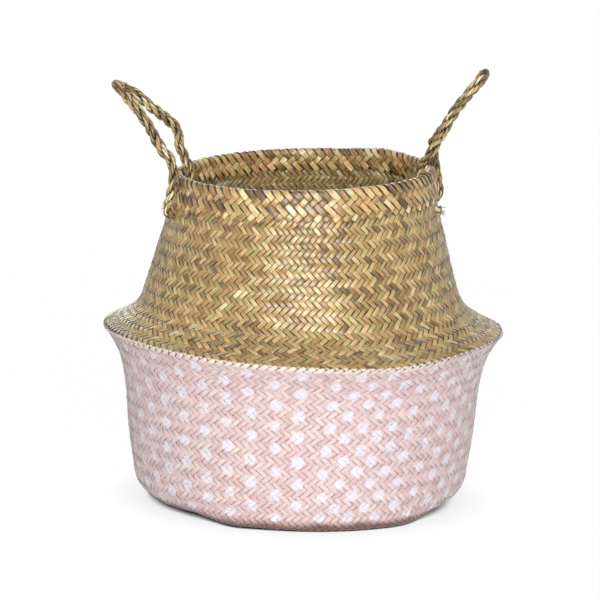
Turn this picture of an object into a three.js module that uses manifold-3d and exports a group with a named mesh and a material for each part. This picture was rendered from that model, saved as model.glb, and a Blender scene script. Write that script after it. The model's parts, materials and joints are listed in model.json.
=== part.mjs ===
// Two-tone seagrass belly basket in its half-folded state: a wide painted belly below a sharp fold,
// a bell-shaped natural neck above it, a folded hem at the rim and two rope handles through the wall.
// Millimetres and degrees, +Z up, origin at the middle of the resting face, front towards -Y.
import * as THREE from "three";
import { mergeVertices } from "three/addons/utils/BufferGeometryUtils.js";
import Module from "manifold-3d";

// Woven sheet and rope
const wallThickness = 3;
const baseThickness = 3.4;
const hemThickness = 2;
const ropeDiameter = 8.8;
const seam = 0.3;

// Outer face of the wall: radii, each with its rise above the one before.
// The brim is set in from the fold, and the hem's lower edge stands out from the rim.
const footRadius = 120;
const footLip = 8;
const heelRadius = 146;
const heelRise = 28;
const wallRadius = 151;
const wallRise = 35;
const wallTopRadius = 154.6;
const wallTopRise = 39;
const flareRadius = 161;
const flareRise = 27;
const foldRadius = 175;
const foldRise = 23;
const brimInset = 16.5;
const brimRise = 8.8;
const shoulderRadius = 142;
const shoulderRise = 13;
const neckFootRadius = 133.2;
const neckFootRise = 24;
const neckRadius = 124.8;
const neckRise = 31;
const hemFlare = 4.5;
const hemSeatRise = 34;
const rimRadius = 111;
const hemDepth = 24.5;

// How far the crease ring reaches to each side of the fold
const foldReach = 9;

// Handle feet: where the rope passes through the wall and lies along the hem
const outerFootAngle = 17;
const innerFootAngle = 8;
const footDrop = 4;
const holeDrop = 6;
const elbowRadius = 6.6;
const tailLength = 3.5;
const ropeSeat = 0.5;
const holeClearance = 0.4;

// Handle loops: length and lean from upright, width, and each leg's places as shares of the length and the
// width, with how far the leg bows out of the leaning plane there. The first place is the end of the bend.
const leftReach = 91.7;
const leftLeanAngle = 39.8;
const rightReach = 99.4;
const rightLeanAngle = 27.4;
const loopWidth = 50;
const legHeights = [0.17, 0.3, 0.58, 0.82, 0.96];
const legWidths = [1.1, 1, 0.88, 0.62, 0.32];
const leftOuterBows = [-1.6, -1.3, -4, -2.7, -1];
const leftInnerBows = [-9.6, -15.9, -10.6, -5.7, -0.2];
const rightOuterBows = [-4.5, -4.1, -3.7, 0.1, 1.5];
const rightInnerBows = [-6, -5.9, -6.8, -3.7, -0.6];

// Facets
const turnSegments = 48;
const ropeSides = 8;
const heelSteps = 4;
const spanSteps = 2;
const beadSteps = 6;
const elbowSteps = 3;
const footSteps = 10;
const bendSteps = 4;
const loopSteps = 28;

// A length too short to matter
const smallest = 1e-3;

const wasm = await Module();
wasm.setup();

const naturalWeave = { color: 0xb59a62, roughness: 0.55, metalness: 0 };
const hemWeave = { color: 0xb8935a, roughness: 0.55, metalness: 0 };
const paintedWeave = { color: 0xe2c0b9, roughness: 0.75, metalness: 0 };
const baseWeave = { color: 0xa08a5c, roughness: 0.7, metalness: 0 };
const twistedRope = { color: 0x9a8250, roughness: 0.7, metalness: 0 };

// Points above a start, from radii and rises
function climb(start, steps) {
  let height = start.y;
  return steps.map(([radius, rise]) => {
    height += rise;
    return new THREE.Vector2(radius, height);
  });
}

function smoothLine(points, stepsPerSpan) {
  return new THREE.SplineCurve(points).getPoints(stepsPerSpan * (points.length - 1));
}

function lineLength(line) {
  let total = 0;
  for (let i = 1; i < line.length; i++) {
    total += line[i].distanceTo(line[i - 1]);
  }
  return total;
}

// The part of a line between two distances along it
function stretchOf(line, from, to) {
  const points = [];
  let walked = 0;
  for (let i = 1; i < line.length; i++) {
    const a = line[i - 1];
    const b = line[i];
    const step = a.distanceTo(b);
    const first = THREE.MathUtils.clamp((from - walked) / step, 0, 1);
    const last = THREE.MathUtils.clamp((to - walked) / step, 0, 1);
    if ((last - first) * step > smallest) {
      if (points.length === 0) {
        points.push(a.clone().lerp(b, first));
      }
      points.push(a.clone().lerp(b, last));
    }
    walked += step;
  }
  return points;
}

// A line moved outwards by a distance, with mitred corners
function moved(line, distance) {
  const normals = [];
  for (let i = 1; i < line.length; i++) {
    const run = line[i].clone().sub(line[i - 1]).normalize();
    normals.push(new THREE.Vector2(run.y, -run.x));
  }
  return line.map((point, i) => {
    const before = normals[Math.max(i - 1, 0)];
    const after = normals[Math.min(i, normals.length - 1)];
    const mitre = before.clone().add(after).normalize();
    return point.clone().addScaledVector(mitre, distance / mitre.dot(after));
  });
}

// A closed outline in radius and height, turned about Z
function turned(outline) {
  const geometry = new THREE.LatheGeometry([...outline, outline[0].clone()], turnSegments);
  geometry.rotateX(Math.PI / 2);
  return geometry;
}

// A woven sheet of a thickness that follows a stretch of a line, set out from it by a distance
function sheet(line, from, to, outset, thickness) {
  const middle = stretchOf(line, from, to);
  const outside = moved(middle, outset);
  const inside = moved(middle, outset - thickness).reverse();
  return turned([...outside, ...inside]);
}

function solidOf(geometry) {
  const bare = geometry.clone();
  bare.deleteAttribute("normal");
  bare.deleteAttribute("uv");
  const merged = mergeVertices(bare, smallest);
  return new wasm.Manifold(
    new wasm.Mesh({
      numProp: 3,
      vertProperties: new Float32Array(merged.attributes.position.array),
      triVerts: new Uint32Array(merged.index.array),
    })
  );
}

function geometryOf(solid) {
  const mesh = solid.getMesh();
  const geometry = new THREE.BufferGeometry();
  geometry.setAttribute("position", new THREE.BufferAttribute(mesh.vertProperties, 3));
  geometry.setIndex(new THREE.BufferAttribute(mesh.triVerts, 1));
  geometry.computeVertexNormals();
  return geometry;
}

function piece(name, geometry, finish) {
  const mesh = new THREE.Mesh(geometry, new THREE.MeshStandardMaterial(finish));
  mesh.name = name;
  return mesh;
}

// The outline of the wall's outer face
const lipStart = new THREE.Vector2(footRadius - footLip, 0);
const heelArc = new THREE.EllipseCurve(
  footRadius, heelRise, heelRadius - footRadius, heelRise, -Math.PI / 2, 0
).getPoints(heelSteps);
const heelLine = [lipStart, ...heelArc];
const heelTop = new THREE.Vector2(heelRadius, heelRise);
const bellyPoints = climb(heelTop, [
  [wallRadius, wallRise],
  [wallTopRadius, wallTopRise],
  [flareRadius, flareRise],
  [foldRadius, foldRise],
]);
const fold = bellyPoints.at(-1);
const neckPoints = climb(fold, [
  [foldRadius - brimInset, brimRise],
  [shoulderRadius, shoulderRise],
  [neckFootRadius, neckFootRise],
  [neckRadius, neckRise],
  [rimRadius + hemFlare, hemSeatRise],
  [rimRadius, hemDepth],
]);
const bellyLine = smoothLine([heelTop, ...bellyPoints], spanSteps);
const neckLine = smoothLine([fold, ...neckPoints], spanSteps);
const outline = [...heelLine, ...bellyLine.slice(1), ...neckLine.slice(1)];
const [neckFoot, , hemSeat, wallTop] = neckPoints.slice(2);

// Distances along the outline
const heelEnd = lineLength(heelLine);
const foldAt = heelEnd + lineLength(bellyLine);
const outlineEnd = lineLength(outline);
const upTo = (point) => {
  const index = neckPoints.indexOf(point) + 1;
  return foldAt + lineLength(neckLine.slice(0, index * spanSteps + 1));
};
const shoulderEnd = upTo(neckFoot);
const hemStart = upTo(hemSeat);

function wallRadiusAt(height) {
  for (let i = 1; i < neckLine.length; i++) {
    const a = neckLine[i - 1];
    const b = neckLine[i];
    if (height >= a.y && height <= b.y) {
      return THREE.MathUtils.mapLinear(height, a.y, b.y, a.x, b.x);
    }
  }
  return wallTop.x;
}

// The fold-over along the rim: a bead that caps both flaps of the hem and the wall between them
const hemSpread = wallThickness + 2 * (hemThickness + seam);
const rimRun = outline.at(-1).clone().sub(outline.at(-2)).normalize();
const rimOut = new THREE.Vector2(rimRun.y, -rimRun.x);
const beadMiddle = wallTop.clone().addScaledVector(rimOut, -wallThickness / 2).addScaledVector(rimRun, seam);
const rimTop = beadMiddle.y + hemSpread / 2;

function rimBead() {
  const start = rimOut.angle();
  const arc = new THREE.EllipseCurve(
    beadMiddle.x, beadMiddle.y, hemSpread / 2, hemSpread / 2, start, start + Math.PI
  ).getPoints(beadSteps);
  return turned(arc);
}

function baseDisc() {
  const radius = lipStart.x - seam;
  const geometry = new THREE.LatheGeometry(
    [
      new THREE.Vector2(0, 0),
      new THREE.Vector2(radius, 0),
      new THREE.Vector2(radius, baseThickness),
      new THREE.Vector2(0, baseThickness),
    ],
    turnSegments
  );
  geometry.rotateX(Math.PI / 2);
  return geometry;
}

// Rope handles, in a frame with X outwards through the handle's middle and Y along the rim
const ropeRadius = ropeDiameter / 2;
const holeHeight = hemSeat.y - holeDrop;
const footTop = rimTop - footDrop;
const middleFootAngle = (outerFootAngle + innerFootAngle) / 2;
const hingeRadius = beadMiddle.x * Math.cos(THREE.MathUtils.degToRad(middleFootAngle));

function atFoot(radius, height, side) {
  const angle = side * THREE.MathUtils.degToRad(side > 0 ? outerFootAngle : innerFootAngle);
  return new THREE.Vector3(radius * Math.cos(angle), radius * Math.sin(angle), height);
}

function outerSeat(height) {
  return wallRadiusAt(height) + seam + hemThickness + ropeSeat + ropeRadius;
}

function innerSeat(height) {
  return wallRadiusAt(height) - wallThickness - seam - hemThickness - ropeSeat - ropeRadius;
}

// From the rope's end, through the hole, round an elbow and up along the hem
function footPoints(side) {
  const seat = side > 0 ? outerSeat : innerSeat;
  const elbowHeight = holeHeight + elbowRadius;
  const elbowMiddle = seat(elbowHeight) - side * elbowRadius;
  const wallFace = wallRadiusAt(holeHeight) - (side > 0 ? wallThickness : 0);
  const points = [atFoot(wallFace - side * tailLength, holeHeight, side)];
  for (let i = 0; i <= elbowSteps; i++) {
    const turn = (i / elbowSteps) * (Math.PI / 2);
    const radius = elbowMiddle + side * elbowRadius * Math.sin(turn);
    points.push(atFoot(radius, elbowHeight - elbowRadius * Math.cos(turn), side));
  }
  points.push(atFoot(seat(footTop), footTop, side));
  return points;
}

// One leg of a loop from the end of its bend to just short of the apex
function legPoints(side, reach, lean, bows) {
  const along = new THREE.Vector3(Math.sin(lean), 0, Math.cos(lean));
  const across = new THREE.Vector3(Math.cos(lean), 0, -Math.sin(lean));
  return bows.map((bow, i) =>
    new THREE.Vector3(hingeRadius, (side * loopWidth * legWidths[i]) / 2, rimTop)
      .addScaledVector(along, reach * legHeights[i])
      .addScaledVector(across, bow)
  );
}

// The part of a route between two of its parameters
class Stretch extends THREE.Curve {
  constructor(route, from, to) {
    super();
    this.route = route;
    this.from = from;
    this.to = to;
  }

  getPoint(t, target = new THREE.Vector3()) {
    return this.route.getPoint(THREE.MathUtils.lerp(this.from, this.to, t), target);
  }
}

const ropeSection = new THREE.Shape(
  Array.from({ length: ropeSides }, (_, i) => {
    const angle = (i / ropeSides) * 2 * Math.PI;
    return new THREE.Vector2(ropeRadius * Math.cos(angle), ropeRadius * Math.sin(angle));
  })
);

// A length of rope between two of the route's points, half a seam short at each cut
function ropeBetween(route, first, last, steps) {
  const spans = route.points.length - 1;
  const probe = 1e-4;
  const halfSeam = (at) => {
    const inside = THREE.MathUtils.clamp(at, probe, 1 - probe);
    const speed = route.getPoint(inside + probe).distanceTo(route.getPoint(inside - probe)) / (2 * probe);
    return at === 0 || at === 1 ? 0 : seam / 2 / speed;
  };
  const from = first / spans;
  const to = last / spans;
  const path = new Stretch(route, from + halfSeam(from), to - halfSeam(to));
  return new THREE.ExtrudeGeometry(ropeSection, { steps, bevelEnabled: false, extrudePath: path });
}

function handle(name, turn, reach, leanAngle, outerBows, innerBows) {
  const lean = THREE.MathUtils.degToRad(leanAngle);
  const outerFoot = footPoints(1);
  const outerLeg = legPoints(1, reach, lean, outerBows);
  const apex = new THREE.Vector3(
    hingeRadius + reach * Math.sin(lean), 0, rimTop + reach * Math.cos(lean)
  );
  const innerLeg = legPoints(-1, reach, lean, innerBows).reverse();
  const innerFoot = footPoints(-1).reverse();
  const points = [...outerFoot, ...outerLeg, apex, ...innerLeg, ...innerFoot];
  const route = new THREE.CatmullRomCurve3(points, false, "centripetal");
  const outerFootEnd = outerFoot.length - 1;
  const loopStart = outerFoot.length;
  const loopEnd = loopStart + outerLeg.length + innerLeg.length;
  const innerFootStart = loopEnd + 1;
  const last = points.length - 1;
  const group = new THREE.Group();
  group.rotation.z = turn;
  group.add(
    piece(`${name}_loop`, ropeBetween(route, loopStart, loopEnd, loopSteps), twistedRope),
    piece(`${name}_outer_bend`, ropeBetween(route, outerFootEnd, loopStart, bendSteps), twistedRope),
    piece(`${name}_inner_bend`, ropeBetween(route, loopEnd, innerFootStart, bendSteps), twistedRope),
    piece(`${name}_outer_foot`, ropeBetween(route, 0, outerFootEnd, footSteps), twistedRope),
    piece(`${name}_inner_foot`, ropeBetween(route, innerFootStart, last, footSteps), twistedRope)
  );
  return group;
}

// The natural wall under the hem, with a hole for each rope foot
function neckWithHoles() {
  let wall = solidOf(sheet(outline, shoulderEnd + seam / 2, outlineEnd, 0, wallThickness));
  const holeRadius = ropeRadius + holeClearance;
  const drillLength = 6 * wallThickness;
  for (const turn of [0, Math.PI]) {
    for (const side of [1, -1]) {
      const drill = new THREE.CylinderGeometry(holeRadius, holeRadius, drillLength, 2 * ropeSides);
      const middle = atFoot(wallRadiusAt(holeHeight) - wallThickness / 2, holeHeight, side);
      drill.rotateZ(Math.PI / 2 + Math.atan2(middle.y, middle.x));
      drill.translate(middle.x, middle.y, middle.z);
      drill.rotateZ(turn);
      wall = wall.subtract(solidOf(drill));
    }
  }
  return geometryOf(wall);
}

const basket = new THREE.Group();
basket.add(
  piece("base_mat", baseDisc(), baseWeave),
  piece("heel_ring", sheet(outline, 0, heelEnd - seam / 2, 0, wallThickness), paintedWeave),
  piece(
    "lower_wall",
    sheet(outline, heelEnd + seam / 2, foldAt - foldReach - seam / 2, 0, wallThickness),
    paintedWeave
  ),
  piece(
    "fold_edge",
    sheet(outline, foldAt - foldReach + seam / 2, foldAt + foldReach - seam / 2, 0, wallThickness),
    paintedWeave
  ),
  piece(
    "shoulder",
    sheet(outline, foldAt + foldReach + seam / 2, shoulderEnd - seam / 2, 0, wallThickness),
    naturalWeave
  ),
  piece("neck_wall", neckWithHoles(), naturalWeave),
  piece(
    "hem_outer",
    sheet(outline, hemStart, outlineEnd, seam + hemThickness, hemThickness),
    hemWeave
  ),
  piece(
    "hem_inner",
    sheet(outline, hemStart, outlineEnd, -wallThickness - seam, hemThickness),
    hemWeave
  ),
  piece("rim_edge", rimBead(), hemWeave),
  handle("handle_left", Math.PI, leftReach, leftLeanAngle, leftOuterBows, leftInnerBows),
  handle("handle_right", 0, rightReach, rightLeanAngle, rightOuterBows, rightInnerBows)
);

export default basket;
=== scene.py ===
"""A two-tone belly basket, plaited from split seagrass around its solid model.

Every strand is real geometry: two families of strands cross in a turned wall, a wider pair makes the folded
hem, straight strips make the bottom, and twisted plies make the rope handles. All lengths are in metres.
"""

import json
import math

import bpy
import numpy as np
from bpy.props import FloatProperty, FloatVectorProperty, IntProperty, PointerProperty
from bpy.types import Operator, Panel, PropertyGroup
from mathutils import Matrix, Vector


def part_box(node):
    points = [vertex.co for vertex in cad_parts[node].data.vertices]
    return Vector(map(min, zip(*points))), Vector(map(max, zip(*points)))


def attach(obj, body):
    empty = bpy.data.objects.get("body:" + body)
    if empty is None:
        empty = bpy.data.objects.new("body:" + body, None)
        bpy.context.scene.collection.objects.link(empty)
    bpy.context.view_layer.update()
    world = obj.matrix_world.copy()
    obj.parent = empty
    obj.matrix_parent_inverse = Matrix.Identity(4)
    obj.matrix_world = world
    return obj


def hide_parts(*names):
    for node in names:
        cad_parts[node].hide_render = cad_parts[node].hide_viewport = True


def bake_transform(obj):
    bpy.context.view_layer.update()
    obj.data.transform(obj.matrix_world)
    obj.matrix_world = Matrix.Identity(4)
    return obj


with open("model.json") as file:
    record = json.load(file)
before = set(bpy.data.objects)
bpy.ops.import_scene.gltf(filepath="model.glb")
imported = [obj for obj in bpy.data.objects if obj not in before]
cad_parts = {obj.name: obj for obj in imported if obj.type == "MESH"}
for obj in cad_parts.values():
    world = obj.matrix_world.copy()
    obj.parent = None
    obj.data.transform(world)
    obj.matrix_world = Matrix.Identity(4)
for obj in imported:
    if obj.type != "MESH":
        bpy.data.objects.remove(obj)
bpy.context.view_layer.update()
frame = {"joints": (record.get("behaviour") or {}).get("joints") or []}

bl_info = {
    "name": "Seagrass Basket",
    "version": (1, 0, 0),
    "blender": (4, 5, 0),
    "location": "3D View > Sidebar > Basket",
    "description": "Plaits a two-tone seagrass belly basket with rope handles",
    "category": "Add Mesh",
}

# The outline of the wall's outer face, as radius and height, with the fold and the rim read from the frame
LIP_RADIUS = 0.112
FOOT_RADIUS = 0.120
BASE_OVERLAP = 0.007
LIP_RISE = 0.0022
LIP_SLOPE = (LIP_RADIUS - 0.008, LIP_RADIUS - 0.001)
HEEL_RADIUS = 0.146
HEEL_HEIGHT = 0.028
FOLD_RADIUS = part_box("fold_edge")[1].x
FOLD_HEIGHT = 0.152
BELLY_POINTS = [(0.151, 0.063), (0.1546, 0.102), (0.161, 0.129)]
NECK_POINTS = [(0.1585, 0.1608), (0.142, 0.1738), (0.1332, 0.1978), (0.1248, 0.2288), (0.1155, 0.2628)]
RIM_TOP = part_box("rim_edge")[1].z
RIM_RADIUS = 0.111
RIM_HEIGHT = 0.2873
HEM_SEAT_HEIGHT = 0.2628
OUTLINE_SOFTNESS = 0.0012

# Hand-made unevenness that no user would change: the rim's high place, the fold's three waves, and the rows'
# own waves, each by its height, how often it comes in a turn and the angle that it starts from
HIGH_BACK = 0.0028
FOLD_RISE = 0.0003
FOLD_WAVE = 0.0019
ROW_WAVES = [(0.0007, 3, 1), (0.0004, 8, 2)]

# The wall: its thickness, and the hem's two flaps on it, whose line starts a little below their seat
WALL_THICKNESS = 0.003
HEM_THICKNESS = 0.002
HEM_LINE_ROOM = 0.003
SEAM = 0.0003
MIDDLE_DEPTH = 0.0012
FOLD_ROWS = 2
HEM_EDGES = [-3, -2.5, -1.5, -1, 1, 1.5, 2.3]

# The hem's strands end unevenly: by up to how many rows, and over how many rows that is spread
RAGGED_SHIFT = 0.12
RAGGED_ROWS = 0.4

# Strands stand aside for a rope: by about this much of its radius, less and less between two distances
HOLE_SHARE = 1.1
HOLE_SPREAD = (0.008, 0.018)

# The base: its strips are a little wider than the wall's strands, and run at an angle to the front
BASE_STRIP_SHARE = 1.08
BASE_STRIP_FILL = 0.995
CROSSING_REACH = 0.33
BASE_TURN = math.radians(38)

# Handles: the route of each rope, as the solid model has it
HINGE_RADIUS = abs(next(j for j in frame["joints"] if j["name"] == "handle_right_swing")["pos_m"][0])
FOOT_ANGLES = {1: math.radians(17), -1: math.radians(8)}
FOOT_TOP = RIM_TOP - 0.004
HOLE_HEIGHT = 0.2568
ELBOW_RADIUS = 0.0066
ELBOW_STEPS = 3
TAIL_LENGTH = 0.0035
ROPE_RADIUS = 0.0044
ROPE_SEAT = 0.0005
ROPE_STEP = 0.0012
ROPE_STRAND_WIDTHS = (0.0016, 0.0023)
LOOSENESS = 0.0002
HAIRS = 14
HAIR_RINGS = 6
HAIR_LENGTHS = (0.002, 0.005)
HAIR_WIDTHS = (0.00042, 0.00014)
LOOP_WIDTH = 0.05
LEG_HEIGHTS = [0.17, 0.3, 0.58, 0.82, 0.96]
LEG_WIDTHS = [1.1, 1, 0.88, 0.62, 0.32]
HANDLES = {
    "left": {
        "turn": math.pi, "reach": 0.0917, "lean": math.radians(39.8),
        "outer": [-0.0016, -0.0013, -0.004, -0.0027, -0.001],
        "inner": [-0.0096, -0.0159, -0.0106, -0.0057, -0.0002],
    },
    "right": {
        "turn": 0.0, "reach": 0.0994, "lean": math.radians(27.4),
        "outer": [-0.0045, -0.0041, -0.0037, 0.0001, 0.0015],
        "inner": [-0.006, -0.0059, -0.0068, -0.0037, -0.0006],
    },
}

# A strand's section, as shares of its width and thickness
SECTION = np.array([(0.5, 0.05), (0.38, 0.5), (-0.38, 0.5), (-0.5, 0.05), (-0.36, -0.5), (0.36, -0.5)])
STRAND_THICKNESS = 0.001
ROPE_STRAND_THICKNESS = 0.0013
CROSSING_OFFSET = 0.0006
EDGE_ROOM = 0.12
FINE_STEP = 0.0005
TURN_STEP = 0.004
FULL_TURN = 2 * math.pi

# Where the random draws of each piece start
SEEDS = {"base": 5, "wall": 11, "hem": 23, "rope": 71}

# The stage: the camera's sensor in millimetres, the image's side in pixels, what it aims at, the floor, and
# the reach of the shadow painted on the floor
SENSOR_WIDTH = 36
IMAGE_SIDE = 600
FAR_CLIP = 50
AIM = Vector((0, 0, 0.15))
FLOOR_REACH = 7.0
CONTACT_REACH = 0.03
WHITE = (1, 1, 1, 1)


def smoothstep(value, low, high):
    share = np.clip((value - low) / (high - low), 0, 1)
    return share * share * (3 - 2 * share)


def unit(vectors):
    return vectors / np.maximum(np.linalg.norm(vectors, axis=-1, keepdims=True), 1e-9)


def bump(angle, middle, reach):
    """1 at a middle angle, falling off to both sides of it."""
    away = (angle - middle + math.pi) % FULL_TURN - math.pi
    return np.exp(-(away / reach) ** 2)


def settle(points):
    """The hand-made unevenness that the whole basket shares: a leaning neck, a tilted rim, a fold that sags,
    a wall not quite round and a heel pressed out at the front and lifted between its contact places."""
    shape = bpy.context.scene.basket.shape
    x, y, z = np.moveaxis(points, -1, 0)
    around = np.arctan2(y, x)
    from_front = around + math.pi / 2
    radius = np.hypot(x, y)
    below_loops = 1 - smoothstep(z, 0.3, 0.36)
    tilt = smoothstep(z, 0.16, RIM_HEIGHT) * below_loops * math.tan(shape.rim_tilt)
    high_back = HIGH_BACK * bump(around, 0.9, 0.25) * smoothstep(z, 0.22, 0.28) * below_loops
    sag = FOLD_RISE - FOLD_WAVE * np.cos(3 * from_front) - shape.fold_sag * bump(from_front, 0.56, 0.35)
    sag = sag * smoothstep(z, 0.105, 0.145) * (1 - smoothstep(z, 0.16, 0.2))
    swell = np.sin(2 * around + 0.6) + 0.6 * np.sin(3 * around + 4.0 + 9 * z)
    swell = swell + 0.4 * np.sin(5 * around + 20 * z)
    lift = shape.heel_lift * (0.5 + 0.5 * np.sin(3 * around + 1.885)) ** 2
    press = shape.heel_press * smoothstep(np.cos(from_front - 0.12), 0.6, 0.88)
    press = press * (1 + 0.25 * bump(from_front, -0.4, 0.13))
    wide = radius + shape.unevenness * swell * smoothstep(z, 0.0, 0.06) * smoothstep(radius, 0.05, 0.1)
    wide = wide + press * (1 - smoothstep(z, -0.004, 0.014)) * smoothstep(radius, 0.112, 0.123)
    lift = lift * (1 - smoothstep(z, 0.0, 0.035)) * smoothstep(radius, 0.09, 0.13)
    lean = shape.neck_lean * smoothstep(z, 0.155, 0.19)
    high = z + tilt * x + high_back + sag + lift
    return np.stack([wide * np.cos(around) + lean, wide * np.sin(around), high], -1)


class Line:
    """A line in radius and height that is turned about Z: its places, outward normals and run by distance."""

    def __init__(self, points, soften=0.0):
        points = np.asarray(points, float)
        gaps = np.linalg.norm(np.diff(points, axis=0), axis=1)
        points = points[np.concatenate([[True], gaps > 1e-7])]
        walked = np.concatenate([[0], np.cumsum(np.linalg.norm(np.diff(points, axis=0), axis=1))])
        self.length = walked[-1]
        self.at = np.linspace(0, self.length, int(self.length / FINE_STEP) + 1)
        self.points = np.stack([np.interp(self.at, walked, points[:, i]) for i in (0, 1)], 1)
        if soften:
            self.points = self.softened(soften)
        run = unit(np.gradient(self.points, axis=0))
        self.normals = np.stack([run[:, 1], -run[:, 0]], 1)

    def softened(self, reach):
        steps = int(3 * reach / FINE_STEP)
        offsets = np.arange(-steps, steps + 1) * FINE_STEP
        weights = np.exp(-0.5 * (offsets / reach) ** 2)
        weights /= weights.sum()
        before = 2 * self.points[0] - self.points[steps:0:-1]
        after = 2 * self.points[-1] - self.points[-2:-steps - 2:-1]
        padded = np.concatenate([before, self.points, after])
        return np.stack([np.convolve(padded[:, i], weights, "valid") for i in (0, 1)], 1)

    def moved(self, distance):
        return Line(self.points + self.normals * distance)

    def distance_at_height(self, height):
        """The first distance at which the line reaches a height."""
        return self.at[np.argmax(self.points[:, 1] >= height)]

    def __call__(self, distance):
        places = [np.interp(distance, self.at, self.points[:, i]) for i in (0, 1)]
        normals = [np.interp(distance, self.at, self.normals[:, i]) for i in (0, 1)]
        return places[0], places[1], normals[0], normals[1]


def smooth_line(points, steps=24):
    """A uniform spline through points in radius and height."""
    points = [np.array(p) for p in points]
    places = [points[0]]
    for i in range(len(points) - 1):
        before = points[max(i - 1, 0)]
        first = points[i]
        second = points[i + 1]
        after = points[min(i + 2, len(points) - 1)]
        start_pull = (second - before) / 2
        end_pull = (after - first) / 2
        for t in np.arange(1, steps + 1) / steps:
            cubic = 2 * first - 2 * second + start_pull + end_pull
            square = -3 * first + 3 * second - 2 * start_pull - end_pull
            places.append(cubic * t**3 + square * t**2 + start_pull * t + first)
    return places


def wall_outline():
    """The wall's outer face from the lip under the heel up to the rim."""
    turns = np.linspace(-math.pi / 2, 0, 24)
    across = HEEL_RADIUS - FOOT_RADIUS
    heel = [(FOOT_RADIUS + across * math.cos(t), HEEL_HEIGHT + HEEL_HEIGHT * math.sin(t)) for t in turns]
    fold = (FOLD_RADIUS, FOLD_HEIGHT)
    belly = smooth_line([(HEEL_RADIUS, HEEL_HEIGHT), *BELLY_POINTS, fold])
    neck = smooth_line([fold, *NECK_POINTS, (RIM_RADIUS, RIM_HEIGHT)])
    return [(LIP_RADIUS, 0), *heel, *belly[1:], *neck[1:]]


def outer_line():
    """The wall's outer face with its joins softened."""
    return Line(wall_outline(), soften=OUTLINE_SOFTNESS)


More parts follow.
